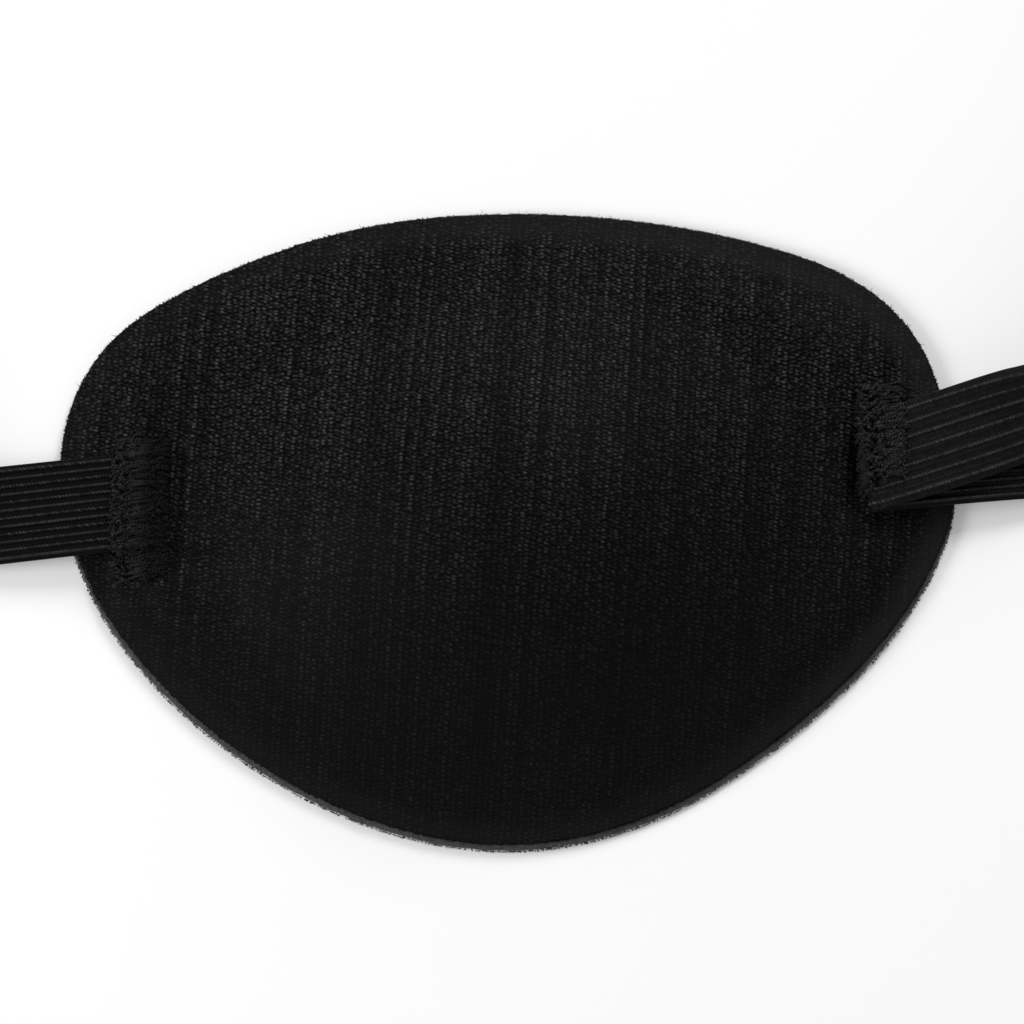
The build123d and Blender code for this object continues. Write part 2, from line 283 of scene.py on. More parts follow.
cord_number = calculate(tree, "ROUND", cord_at)


def braid_strand(number, pitch, slant):
    """The height and painted highlight of the strand with this number."""
    made = place_group(tree, cording, Across=across, Along=along, Strand=number, Pitch=pitch, Slant=slant)
    return made.outputs["Height"], made.outputs["Light"]


twist_height, twist_light = braid_strand(rib_number, 0.00036, 0.9)
_, wrap_light = braid_strand(rib_number, 0.00027, -0.4)
bead_height, bead_light = braid_strand(cord_number, 0.00031, 0.3)
ground_number = calculate(tree, "FLOOR", ratio(tree, across, GROUND_PITCH))
_, ground_light = braid_strand(ground_number, GROUND_PITCH, 0.5)
# Painted light: the crests of the ribs, cords and weft are painted lighter as highlights, and the grooves
# between them darker as painted shade.
smooth_light = total(tree, product(tree, wrap_light, 0.9), 0.25)
rib_light = product(tree, corded, product(tree, twist_light, 1.5))
rib_light = total(tree, rib_light, product(tree, smooth, smooth_light))
cord_light = product(tree, cord, total(tree, product(tree, bead_light, 1.5), 0.15))
cord_light = total(tree, cord_light, product(tree, ground_light, 0.30))
relief = total(tree, product(tree, twist_height, corded), product(tree, smooth, 0.8))
relief = total(tree, relief, product(tree, cord, bead_height))
light = add_node(tree, "ShaderNodeMix", inputs={0: on_ribs, 2: cord_light, 3: rib_light}).outputs[0]
place = object_place(tree)
dye = dyed(tree, place, grey(0.0125, 0.02), grey(0.0185, 0.01), 0.003)
painted_highlight = total(tree, product(tree, light, 2.5), 0.07)
cover(tree, shader, tinted(tree, dye["Color"], painted_highlight), relief, 0.8, 0.0001)


def smooth_line(points):
    """Points read from a NURBS line that has these as its control points."""
    curve = bpy.data.curves.new("route", "CURVE")
    curve.dimensions = "3D"
    curve.resolution_u = ROUTE_SAMPLES
    spline = curve.splines.new("NURBS")
    spline.points.add(len(points) - 1)
    for point, place in zip(spline.points, points):
        point.co = (*place, 1)
    spline.order_u = 3
    spline.use_endpoint_u = True
    holder = bpy.data.objects.new("route", curve)
    mesh = bpy.data.meshes.new_from_object(holder)
    line = [vertex.co.copy() for vertex in mesh.vertices]
    bpy.data.objects.remove(holder)
    bpy.data.curves.remove(curve)
    bpy.data.meshes.remove(mesh)
    return line


def even_stations(route, step):
    """(place, direction, roll in radians, distance) at even steps along a route's smooth line."""
    line = smooth_line([point[:3] for point in route])
    rolls = [point.x for point in smooth_line([(point[3], 0, 0) for point in route])]
    reached = [0.0]
    for before, after in zip(line, line[1:]):
        reached.append(reached[-1] + (after - before).length)
    count = round(reached[-1] / step)
    stations = []
    k = 0
    for n in range(count + 1):
        wanted = reached[-1] * n / count
        while k < len(line) - 2 and reached[k + 1] < wanted:
            k += 1
        share = (wanted - reached[k]) / (reached[k + 1] - reached[k])
        roll = math.radians(rolls[k] + share * (rolls[k + 1] - rolls[k]))
        heading = (line[k + 1] - line[k]).normalized()
        stations.append((line[k].lerp(line[k + 1], share), heading, roll, wanted))
    return stations


def braid_section():
    """(across, half thickness on the corded face, on the ribbed face) from edge to edge."""
    section = []
    for k in range(SAMPLES_ACROSS + 1):
        across = ELASTIC_WIDTH * (k / SAMPLES_ACROSS - 0.5)
        cord = max(math.cos(2 * math.pi * across / CORD_PITCH), 0) ** 3
        rib = max(math.cos(2 * math.pi * (across / RIB_PITCH + (RIB_COUNT - 1) / 2)), 0) ** 0.7
        edge = math.sqrt(max(1 - abs(2 * across / ELASTIC_WIDTH) ** 40, 0))
        corded = (CORD_GROUND + CORD_RISE * cord) * edge
        section.append((across, corded, (RIB_GROOVE + RIB_RISE * rib) * edge))
    return section


def braid_ring(place, width, normal, press=1.0):
    """One ring of the braid's skin: across its corded face, and back along its ribbed face."""
    section = braid_section()
    over = [place + width * across + normal * (corded * press) for across, corded, _ in section]
    under = [place + width * across - normal * (ribbed * press) for across, _, ribbed in section[-2:0:-1]]
    return over + under


def band_ring(place, along, roll, side, press=1.0):
    """A ring across a route. Side is -1 where the band's raised edge is on the right."""
    left = Vector((0, 0, 1)).cross(along).normalized()
    width = left * (side * math.cos(roll)) + along.cross(left) * math.sin(roll)
    lowest = (abs(width.z) * ELASTIC_WIDTH + math.cos(roll) * ELASTIC_THICK) / 2
    place = Vector((place.x, place.y, max(place.z, lowest)))
    return braid_ring(place, width, along.cross(width), press)


def fold_rings():
    """The end of the lower strand, turned over about a line across the pad."""
    across = Vector((-math.sin(FOLD_LEAN), math.cos(FOLD_LEAN), 0))
    outward = Vector((math.cos(FOLD_LEAN), math.sin(FOLD_LEAN), 0))
    rings = []
    for k in range(FOLD_STEPS + 1):
        turn = math.pi * k / FOLD_STEPS
        place = FOLD_MIDDLE - outward * (FOLD_RADIUS * math.sin(turn))
        place.z -= FOLD_RADIUS * math.cos(turn)
        along = Vector((0, 0, math.sin(turn))) - outward * math.cos(turn)
        rings.append(braid_ring(place, across, along.cross(across)))
    return rings


def sweep(mesh, rings, across, along):
    """A skin through rings of points, with a UV map in metres across it and along it."""
    count = len(rings[0])
    grid = bmesh.ops.create_grid(mesh, x_segments=count, y_segments=len(rings) - 1, size=0.5)
    uv_layer = mesh.loops.layers.uv.get("UVMap") or mesh.loops.layers.uv.new("UVMap")
    index = {}
    for vertex in grid["verts"]:
        i = round((vertex.co.x + 0.5) * count)
        j = round((vertex.co.y + 0.5) * (len(rings) - 1))
        index[vertex] = (i, j)
    for face in {face for vertex in grid["verts"] for face in vertex.link_faces}:
        face.smooth = True
        for loop in face.loops:
            i, j = index[loop.vert]
            loop[uv_layer].uv = (across[i], along[j])
    for vertex, (i, j) in index.items():
        vertex.co = rings[j][i % count]


def finish_mesh(mesh, name, material, body):
    """Closes a bmesh's seams and ends, and makes it a piece that rides on a body."""
    bmesh.ops.remove_doubles(mesh, verts=mesh.verts, dist=1e-7)
    bmesh.ops.holes_fill(mesh, edges=[edge for edge in mesh.edges if edge.is_boundary], sides=0)
    bmesh.ops.recalc_face_normals(mesh, faces=mesh.faces)
    data = bpy.data.meshes.new(name)
    mesh.to_mesh(data)
    mesh.free()
    data.materials.append(material)
    piece = bpy.data.objects.new(name, data)
    scene.collection.objects.link(piece)
    if body:
        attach(piece, body)
    return piece


def ease(share):
    share = min(1.0, max(0.0, share))
    return share * share * (3 - 2 * share)


ring_across = [ELASTIC_WIDTH * k / SAMPLES_ACROSS for k in range(2 * SAMPLES_ACROSS + 1)]
PRESSED_END = 0.0034  # the stitches press the elastic's end thin over this length
END_PRESS = 0.45
END_DROP = 0.0006


def end_press(distance):
    return END_PRESS + (1 - END_PRESS) * ease(distance / PRESSED_END)


stations = even_stations(HEAD_ROUTE, STATION_STEP)
rings = []
for place, along, roll, distance in stations[:-1]:
    press = end_press(distance)
    drop = Vector((0, 0, END_DROP * (1 - press) / (1 - END_PRESS)))
    rings.append(band_ring(place - drop, along, roll, -1, press))
distances = [distance for *_, distance in stations[:-1]]
folded = fold_rings()
fold_length = math.pi * FOLD_RADIUS
distances += [stations[-1][3] + fold_length * k / FOLD_STEPS for k in range(FOLD_STEPS + 1)]
mesh = bmesh.new()
sweep(mesh, rings + folded, ring_across, distances)
head_elastic = finish_mesh(mesh, "head_elastic", braid, "patch")
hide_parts("head_strap")


# ---- Slider lead: the same elastic beyond the fold. It lies over the lower strand, rises on its
# edge to the slider, goes round the slider's centre bar and is sewn to itself.
LEAD_ROUTE = [
    (0.0350, 0.0059, 0.00425, 0),
    (0.0436, 0.0086, 0.00425, 0),
    (0.0562, 0.0128, 0.00725, 55),
    (0.06584, 0.03066, 0.0062, 90),
    (0.07078, 0.04587, 0.0062, 90),
]
BAR_PLACE = Vector((0.07265, 0.05, 0.0062))
LOOP_RADIUS = 0.0012
LOOP_LEAN = math.radians(18)
LOOP_MEETS = 0.0045
LOOP_ENDS = 0.0085
LOOP_STEPS = 20

stations = even_stations(LEAD_ROUTE, STATION_STEP)
rings = folded[-1:] + [band_ring(place, along, roll, 1) for place, along, roll, _ in stations[1:-2]]
distances = [distance for *_, distance in stations[:-2]]
toward_bar = Vector((math.sin(LOOP_LEAN), math.cos(LOOP_LEAN), 0))
beside = Vector((toward_bar.y, -toward_bar.x, 0))
half_layer = ELASTIC_THICK / 2
meet_angle = math.atan2(LOOP_RADIUS - half_layer, LOOP_MEETS)
open_turn = math.pi + 2 * meet_angle
loop = [(BAR_PLACE - toward_bar * LOOP_MEETS - beside * half_layer, toward_bar)]
for k in range(LOOP_STEPS + 1):
    turn = open_turn * (0.5 - k / LOOP_STEPS)
    out = toward_bar * math.cos(turn) - beside * math.sin(turn)
    heading = beside * math.cos(turn) + toward_bar * math.sin(turn)
    loop.append((BAR_PLACE + out * LOOP_RADIUS, heading))
loop.append((BAR_PLACE - toward_bar * LOOP_MEETS + beside * half_layer, -toward_bar))
loop.append((BAR_PLACE - toward_bar * LOOP_ENDS + beside * half_layer, -toward_bar))
upright = Vector((0, 0, 1))
for place, along in loop:
    rings.append(braid_ring(place, upright, along.cross(upright).normalized()))
for before, after in zip([stations[-3][0]] + [place for place, _ in loop], loop):
    distances.append(distances[-1] + (after[0] - before).length)
mesh = bmesh.new()
sweep(mesh, rings, ring_across, distances)
lead_elastic = finish_mesh(mesh, "lead_elastic", braid, None)
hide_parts("slider_lead")
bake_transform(lead_elastic)


# ---- Face cloth: fine black warp knit, laminated to the foam and moulded with it over the cup. The
# die presses it thin and smooth in a band round the edge.
AROUND = 480
RIM_TOP = 0.0011
FLAT_TOP = 0.0026
RIM_WIDTH = 0.0022
SHOULDER_START = 0.0004
SHOULDER_END = 0.0075
CUP_HEIGHT = 0.013
CUP_HALF_LENGTH = 0.0314
CUP_HALF_WIDTH = 0.0264
CUP_FULLNESS = 2.2
CLOTH_THICK = 0.0005
RIM_CLOTH = 0.0003
EDGE_LEVEL = 0.00015  # the cut edge is found at this height
CUT_SPREAD = 0.00016  # the cut edge swells this far once the pad is out of its die
CUT_WAVER = 0.00008  # how far the cut edge wanders from its line
CUT_LEAN = 0.00062  # along the lower rim the cut leans, so that the foam stands out past the cloth
EDGE_BAND = 0.0066  # rings run parallel to the edge as far in as this
CUP_BLEND = 0.0016  # the fillet where the cup rises from the flat
RIM_LINING = 0.0003
LINING_THICK = 0.0005
POCKET_LIFT = 0.00042
POCKET_FADE = 0.0008
LEAST_FOAM = 0.0001
PRESSED_BAND = 0.0012  # the knit is flattened, with a painted sheen, this far in, and less and less beyond
PRESSED_FADE = 0.0026
GLINT_FROM = 0.020  # painted highlight: the knit's glints grow stronger from the lower side of the pad to the upper side
GLINT_OVER = 0.040
LEAST_GLINT = 0.2
TACK_GLINT_REACH = 0.0014  # painted glints on the knit reach this far from a tack
LEAST_PRESSED_AND_SHEEN = 0.35  # the band's flattening and painted sheen are weaker on the lower left than on the upper right, as painted light from the upper right

hull = BVHTree.FromPolygons(
    [vertex.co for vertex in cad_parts["lining_fabric"].data.vertices],
    [face.vertices[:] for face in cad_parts["lining_fabric"].data.polygons],
)


def edge_point(turn):
    """The pad's cut edge in the direction of turn, found from outside."""
    outward = Vector((math.cos(turn), math.sin(turn), 0))
    reach = ELASTIC_WIDTH * 10
    hit = hull.ray_cast(outward * reach + Vector((0, 0, EDGE_LEVEL)), -outward, reach)[0]
    return Vector((hit.x, hit.y, 0)) + outward * CUT_SPREAD


edge = [edge_point(2 * math.pi * k / AROUND) for k in range(AROUND)]
for _ in range(3):
    edge = [(a + 2 * b + c) / 4 for a, b, c in zip(edge[-1:] + edge[:-1], edge, edge[1:] + edge[:1])]
inward = []
for k in range(AROUND):
    along = (edge[(k + 2) % AROUND] - edge[k - 2]).normalized()
    inward.append(Vector((-along.y, along.x, 0)))
edge_finder = kdtree.KDTree(AROUND * 4)
for k in range(AROUND):
    for part in range(4):
        edge_finder.insert(edge[k].lerp(edge[(k + 1) % AROUND], part / 4), 4 * k + part)
edge_finder.balance()
edge_girth = sum((b - a).length for a, b in zip(edge, edge[1:] + edge[:1]))
lean = [CUT_LEAN * max(0.0, min(1.0, 1.5 * inward[k].y)) for k in range(AROUND)]


def inset_of(x, y):
    return edge_finder.find((x, y, 0))[2]


def cup_height(x, y, offset):
    """The moulded surface over the table, offset outside the cup's inner face."""
    reach = math.hypot(x / CUP_HALF_LENGTH, y / CUP_HALF_WIDTH)
    fill = max(0.0, 1 - reach**CUP_FULLNESS)
    fall = 2 * CUP_FULLNESS * fill * reach ** (CUP_FULLNESS - 1) * CUP_HEIGHT
    slope = 2 * fall / (CUP_HALF_LENGTH + CUP_HALF_WIDTH)
    return CUP_HEIGHT * fill**2 + offset * math.sqrt(1 + slope**2)


def softer_of(a, b, width):
    """The higher of two heights, with a fillet between them."""
    share = max(width - abs(a - b), 0) / width
    return max(a, b) + share * share * width / 4


# The tacks pull the pad down into a shallow dent, with a narrow trench at each tack's inner end, and
# the cloth puckers beside them. Each row is a middle, half a size, a depth, and the trench's side.
DENTS = [
    (-0.0351, 0.0020, 0.0031, 0.0066, 0.00060, 1),
    (0.0361, 0.0083, 0.0022, 0.0060, 0.00065, -1),
]
DENT_FADE = 0.0020
TRENCH_DEPTH = 0.00060
TRENCH_WIDTH = 0.00055
DEEPEST_DENT = 0.00105
PUCKER = 0.00011


def beyond(x, y, place):
    """How far a point lies outside a tack."""
    middle_x, middle_y, half_x, half_y = place[:4]
    return math.hypot(max(abs(x - middle_x) - half_x, 0), max(abs(y - middle_y) - half_y, 0))


def dent(x, y):
    sunk = 0.0
    for place in DENTS:
        middle_x, middle_y, half_x, half_y, depth, side = place
        away = beyond(x, y, place)
        turn = math.atan2(y - middle_y, x - middle_x)
        wave = math.sin(11 * turn + 3 * noise.noise((x * 300, y * 300, 0)))
        sunk += depth * math.exp(-((away / DENT_FADE) ** 1.5))
        sunk += PUCKER * wave * math.exp(-(((away - DENT_FADE) / DENT_FADE) ** 2))
        across_trench = (x - middle_x - side * (half_x + TRENCH_WIDTH / 2)) / TRENCH_WIDTH
        along_trench = (y - middle_y) / half_y
        sunk += TRENCH_DEPTH * math.exp(-(across_trench**2) - along_trench**8)
    return min(sunk, DEEPEST_DENT)


def lining_height(x, y, inset):
    """The lining's face against the foam. The tacks draw it up off the skin."""
    flat = RIM_LINING + (LINING_THICK - RIM_LINING) * ease((inset - RIM_WIDTH) / SHOULDER_END)
    cup = cup_height(x, y, LINING_THICK) * ease(inset / SHOULDER_END)
    return softer_of(flat, cup, CUP_BLEND) + pocket(x, y)


def pocket(x, y):
    away = min(beyond(x, y, place) for place in DENTS)
    return POCKET_LIFT * ease(1 - away / POCKET_FADE)


def face_height(x, y, inset):
    """The top of the face cloth."""
    climb = ease((inset - SHOULDER_START) / (SHOULDER_END - SHOULDER_START))
    flat = RIM_TOP + (FLAT_TOP - RIM_TOP) * climb
    cup = cup_height(x, y, FLAT_TOP) * ease(inset / SHOULDER_END)
    lowest = lining_height(x, y, inset) + LEAST_FOAM + RIM_CLOTH
    return max(softer_of(flat, cup, CUP_BLEND) - dent(x, y), lowest)


FINE_RINGS = (26, 84)  # in the band along the edge, and inside it
PLAIN_RINGS = (8, 26)
RING_CROWDING = 1.25  # how much closer the rings lie near the edge band


def surface_rings(height, counts, drawn_in):
    """Rings over one face of a layer, from its edge to its middle."""
    rings = []
    for j in range(1, counts[0] + 1):
        ring = []
        for k in range(AROUND):
            inset = drawn_in * lean[k] + (EDGE_BAND - drawn_in * lean[k]) * j / counts[0]
            place = edge[k] + inward[k] * inset
            ring.append(Vector((place.x, place.y, height(place.x, place.y, inset))))
        rings.append(ring)
    band = rings[-1]
    for j in range(1, counts[1] + 1):
        share = 1 - (j / counts[1]) ** RING_CROWDING
        places = [(p.x * share, p.y * share) for p in band]
        rings.append([Vector((x, y, height(x, y, inset_of(x, y)))) for x, y in places])
    return rings


EDGE_STEPS = 4
EDGE_ROUND = 0.08  # share of the cut edge's height that is rounded over at each side


def layer(name, top, under, material, counts, drawn_in, bulge=0.0):
    """A closed layer of the pad between two heights. Its cut edge bulges, and it is drawn in along
    the lower rim, by shares of the cut's lean at its two faces."""
    rim = []
    for j in range(EDGE_STEPS + 1):
        share = j / EDGE_STEPS
        ring = []
        for k in range(AROUND):
            inset = lean[k] * (drawn_in[0] + (drawn_in[1] - drawn_in[0]) * share)
            place = edge[k] + inward[k] * inset
            waver = CUT_WAVER * noise.noise(edge[k] * 900 + Vector((0, 0, share)))
            place -= inward[k] * (bulge * math.sin(math.pi * share) + waver)
            high, low = top(place.x, place.y, inset), under(place.x, place.y, inset)
            place.z = high + (low - high) * (EDGE_ROUND + (1 - 2 * EDGE_ROUND) * share)
            ring.append(place)
        rim.append(ring)
    rings = surface_rings(top, counts, drawn_in[0])[::-1] + rim
    rings += surface_rings(under, PLAIN_RINGS, drawn_in[1])
    mesh = bmesh.new()
    round_it = [edge_girth * k / AROUND for k in range(AROUND + 1)]
    sweep(mesh, rings, round_it, [j / len(rings) for j in range(len(rings))])
    piece = finish_mesh(mesh, name, material, "patch")
    # Per point: the pressed band's flattening and painted sheen, the share of painted glint on the knit,
    # rising toward the upper side, and painted glint beside the tacks.
    pressed_and_sheen = piece.data.attributes.new("pressed_and_sheen", "FLOAT", "POINT").data
    painted_tack_glint = piece.data.attributes.new("painted_tack_glint", "FLOAT", "POINT").data
    painted_glint_share = piece.data.attributes.new("painted_glint_share", "FLOAT", "POINT").data
    for vertex in piece.data.vertices:
        x, y, _ = vertex.co
        upper_right_share = LEAST_PRESSED_AND_SHEEN + (1 - LEAST_PRESSED_AND_SHEEN) * ease((x + y + 0.012) / 0.05)
        fades = 1 - ease((inset_of(x, y) - PRESSED_BAND) / PRESSED_FADE)
        pressed_and_sheen[vertex.index].value = upper_right_share * fades
        upward_share = ease((y + GLINT_FROM) / GLINT_OVER)
        painted_glint_share[vertex.index].value = LEAST_GLINT + (1 - LEAST_GLINT) * upward_share
        painted_tack_glint[vertex.index].value = sum(math.exp(-((beyond(x, y, d) / TACK_GLINT_REACH) ** 2)) for d in DENTS)
    return piece


# Knit: columns of short slanted loops with smaller ones between them. Each loop lies a little off
# its place, and carries a painted glint as bright as its own fibres happen to lie, with painted shade in the
# gaps.
WALE = 0.00059
COURSE = 0.00038
LOOP_WIDE = 0.40  # half a loop's size, as shares of a wale and of a course
LOOP_HIGH = 0.42
BETWEEN = 0.3  # how much the smaller loops count
KNIT_TURN = math.radians(4)  # the wales lie this far off the pad's short way

knit, knit_in, knit_out = node_group(
    "warp knit",
    {"Vector": "Vector", "Wale": "Float", "Course": "Float", "Slant": "Float"},
    {"Height": "Float", "Light": "Float"},
)
split = add_node(knit, "ShaderNodeSeparateXYZ", inputs={0: knit_in["Vector"]})
wander = noise_over(knit, knit_in["Vector"], 600.0, 1.0)
drift = product(knit, less(knit, wander, 0.5), 0.5)
columns = total(knit, ratio(knit, split.outputs["X"], knit_in["Wale"]), drift)
courses = total(knit, ratio(knit, split.outputs["Y"], knit_in["Course"]), drift)


def loop_set(shift, seed):
    """How high one set of loops is, and its painted glint, moved by a share of a loop."""
    at_column = total(knit, columns, shift)
    column = calculate(knit, "FLOOR", at_column)
    aside = less(knit, calculate(knit, "FRACT", at_column), 0.5)
    own = add_node(knit, "ShaderNodeTexWhiteNoise", noise_dimensions="1D", inputs={"W": column})
    own = own.outputs["Value"]
    slope = calculate(knit, "MULTIPLY_ADD", aside, knit_in["Slant"], own)
    at_row = total(knit, total(knit, courses, shift), slope)
    row = calculate(knit, "FLOOR", at_row)
    level = less(knit, calculate(knit, "FRACT", at_row), 0.5)
    cell = add_node(knit, "ShaderNodeCombineXYZ", inputs={"X": column, "Y": row, "Z": seed})
    inputs = {"Vector": cell.outputs[0]}
    luck = add_node(knit, "ShaderNodeTexWhiteNoise", noise_dimensions="3D", inputs=inputs)
    slip = add_node(knit, "ShaderNodeSeparateXYZ", inputs={0: luck.outputs["Color"]})
    aside = total(knit, aside, calculate(knit, "MULTIPLY_ADD", slip.outputs["X"], 0.36, -0.18))
    level = total(knit, level, calculate(knit, "MULTIPLY_ADD", slip.outputs["Y"], 0.50, -0.25))
    wide = calculate(knit, "POWER", ratio(knit, aside, LOOP_WIDE), 2.0)
    high = calculate(knit, "POWER", ratio(knit, level, LOOP_HIGH), 2.0)
    height = less(knit, 1.0, total(knit, wide, high), clamp=True)
    painted_glint = calculate(knit, "POWER", luck.outputs["Value"], 1.4)
    painted_glint = calculate(knit, "MULTIPLY_ADD", painted_glint, 0.8, 0.2)
    painted_glint = product(knit, painted_glint, calculate(knit, "MULTIPLY_ADD", own, 0.9, 0.55))
    return height, product(knit, height, painted_glint)


loops_high, loops_painted_glint = loop_set(0.0, 1.0)
between_high, between_painted_glint = loop_set(0.5, 2.0)
heights = total(knit, loops_high, product(knit, between_high, BETWEEN))
lights = total(knit, loops_painted_glint, product(knit, between_painted_glint, BETWEEN))
knit.links.new(heights, knit_out["Height"])
knit.links.new(lights, knit_out["Light"])

face_knit, tree, shader = new_material(
    "face knit", roughness=0.52, specular=0.022, sheen=0.012, sheen_roughness=0.4
)
place = object_place(tree)
turned = add_node(tree, "ShaderNodeMapping", inputs={"Vector": place, "Rotation": (0, 0, KNIT_TURN)})
stitches = place_group(tree, knit, Vector=turned.outputs[0], Wale=WALE, Course=COURSE, Slant=0.15)
# Painted light in the knit's colour: glints on the loops with painted shade in the gaps, stronger toward the
# upper side and beside the tacks, an even painted sheen on the lower side, and painted sheen on the pressed
# band.
pressed_and_sheen = add_node(tree, "ShaderNodeAttribute", attribute_name="pressed_and_sheen").outputs["Fac"]
painted_tack_glint = add_node(tree, "ShaderNodeAttribute", attribute_name="painted_tack_glint").outputs["Fac"]
painted_glint_share = add_node(tree, "ShaderNodeAttribute", attribute_name="painted_glint_share").outputs["Fac"]
open_knit = less(tree, 1.0, product(tree, pressed_and_sheen, 0.7))
strength = product(tree, open_knit, total(tree, painted_glint_share, product(tree, painted_tack_glint, 0.25)))
lower_painted_sheen = calculate(tree, "POWER", less(tree, 1.0, painted_glint_share), 2.0)
loops = product(tree, stitches.outputs["Height"], open_knit)
lights = product(tree, stitches.outputs["Light"], strength)
dye = dyed(tree, place, grey(0.0085, 0.02), grey(0.0115, 0.0), 0.006)
lift = total(tree, product(tree, lights, 4.7), product(tree, pressed_and_sheen, 0.8))
lift = total(tree, lift, product(tree, lower_painted_sheen, 0.46))
lift = total(tree, lift, product(tree, dye["Speck"], 0.8))
lit = tinted(tree, dye["Color"], total(tree, lift, 0.03))
cover(tree, shader, lit, loops, 0.7, 0.0001)


def cloth_under(x, y, inset):
    thick = RIM_CLOTH + (CLOTH_THICK - RIM_CLOTH) * ease(inset / SHOULDER_END)
    return max(face_height(x, y, inset) - thick, lining_height(x, y, inset) + LEAST_FOAM)


face_cloth = layer(
    "face_cloth_shell", face_height, cloth_under, face_knit, FINE_RINGS, (1.0, 0.95)
)
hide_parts("outer_fabric")


# ---- Fuzz: short fibres that stand out of the cut edge all round, cloth and foam alike, and a few
# longer ones.
FUZZ_COUNT = 3000
FUZZ_LENGTH = (0.00009, 0.00027)
LONG_FIBRE = 2.4
LONG_SHARE = 0.03
FIBRE_RADIUS = 0.000045
FIBRE_SIDES = 3
chance = random.Random(7)


def tube_rings(points, radii, sides):
    """Rings of a thread along points, each with its own radius."""
    rings = []
    for k, place in enumerate(points):
        along = (points[min(k + 1, len(points) - 1)] - points[max(k - 1, 0)]).normalized()
        across = along.orthogonal().normalized()
        other = along.cross(across)
        turns = [2 * math.pi * side / sides for side in range(sides)]
        rings.append([place + (across * math.cos(t) + other * math.sin(t)) * radii[k] for t in turns])
    return rings


def add_thread(mesh, points, radii, sides):
    """A thread through points, added to a bmesh."""
    reached = [chance.uniform(0, 1)]
    for before, after in zip(points, points[1:]):
        reached.append(reached[-1] + (after - before).length)
    girth = [2 * math.pi * radii[0] * side / sides for side in range(sides + 1)]
    sweep(mesh, tube_rings(points, radii, sides), girth, reached)


def fuzz_fibre(mesh, turn, inset, level, length, radius):
    """A fibre that stands out of the cut edge."""
    k = int(turn)
    root = edge[k].lerp(edge[(k + 1) % AROUND], turn - k) + inward[k] * inset
    root.z = level
    tangent = Vector((0, 0, 1)).cross(inward[k])
    out = -inward[k] + tangent * chance.uniform(-1.1, 1.1)
    out += Vector((0, 0, chance.uniform(-0.2, 0.6)))
    curl = tangent * chance.uniform(-0.4, 0.4) + Vector((0, 0, chance.uniform(-0.3, 0.3)))
    out.normalize()
    points = [root, root + out * (length * 0.55), root + (out + curl) * length]
    for point in points:
        point.z = max(point.z, 2 * radius)
    add_thread(mesh, points, (radius, radius, radius * 0.5), FIBRE_SIDES)


mesh = bmesh.new()
for _ in range(FUZZ_COUNT):
    turn = chance.uniform(0, AROUND)
    length = chance.uniform(*FUZZ_LENGTH)
    radius = FIBRE_RADIUS
    if chance.random() < LONG_SHARE:
        length *= LONG_FIBRE
        radius *= 0.5
    level = RIM_TOP * chance.choice((0.95, 0.9, 0.85, 0.75))
    fuzz_fibre(mesh, turn, lean[int(turn)] + 0.00005, level, length, radius)
finish_mesh(mesh, "cloth_fuzz", face_knit, "patch")


# ---- Foam: a dark grey laminated foam that gives the cup its shape. It shows only where the pad was
# cut out, as a soft strip that bulges a little past the cloth.
foam, tree, shader = new_material("laminated foam", roughness=0.95, specular=0.1, sheen=0.05)
place = object_place(tree)
dye = dyed(tree, place, grey(0.016), grey(0.115), 0.0004)
pores = add_node(tree, "ShaderNodeTexVoronoi", inputs={"Vector": place, "Scale": 4200.0})
cover(tree, shader, dye["Color"], pores.outputs["Distance"], 0.6, 0.0001)

EDGE_BULGE = 0.00008
foam_layer = layer(
    "foam_layer", cloth_under, lining_height, foam, PLAIN_RINGS, (0.95, 0.1), EDGE_BULGE
)
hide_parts("foam_core")

CRUMB_COUNT = 4200
CRUMB_LENGTH = (0.00008, 0.00024)
CRUMB_RADIUS = FIBRE_RADIUS * 1.2
mesh = bmesh.new()
for _ in range(CRUMB_COUNT):
    turn = chance.uniform(0, AROUND)
    share = chance.uniform(0, 0.95) ** 3
    level = RIM_TOP * (0.30 + 0.45 * share)
    length = chance.uniform(*CRUMB_LENGTH)
    fuzz_fibre(mesh, turn, lean[int(turn)] * share, level, length, CRUMB_RADIUS)
finish_mesh(mesh, "foam_fuzz", foam, "patch")


# ---- Lining: soft black brushed cloth against the skin, inside the cup. It is laminated to the foam,
# and moulded and cut out with it.
lining, tree, shader = new_material("brushed lining", roughness=0.8, specular=0.08, sheen=0.12)
place = object_place(tree)
stitches = place_group(tree, knit, Vector=place, Wale=0.00042, Course=0.0003, Slant=0.3)
dye = dyed(tree, place, grey(0.007), grey(0.013), 0.002)
nap = noise_over(tree, place, 2600.0, 4.0)
relief = total(tree, product(tree, stitches.outputs["Height"], 0.5), nap)
cover(tree, shader, dye["Color"], relief, 0.6, 0.00015)


def lining_under(x, y, inset):
    cup = cup_height(x, y, 0) * ease((inset - RIM_WIDTH) / SHOULDER_END)
    return cup + pocket(x, y)


lining_cloth = layer(
    "lining_cloth_shell", lining_height, lining_under, lining, FINE_RINGS, (0.1, 0.25)
)
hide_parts("lining_fabric")


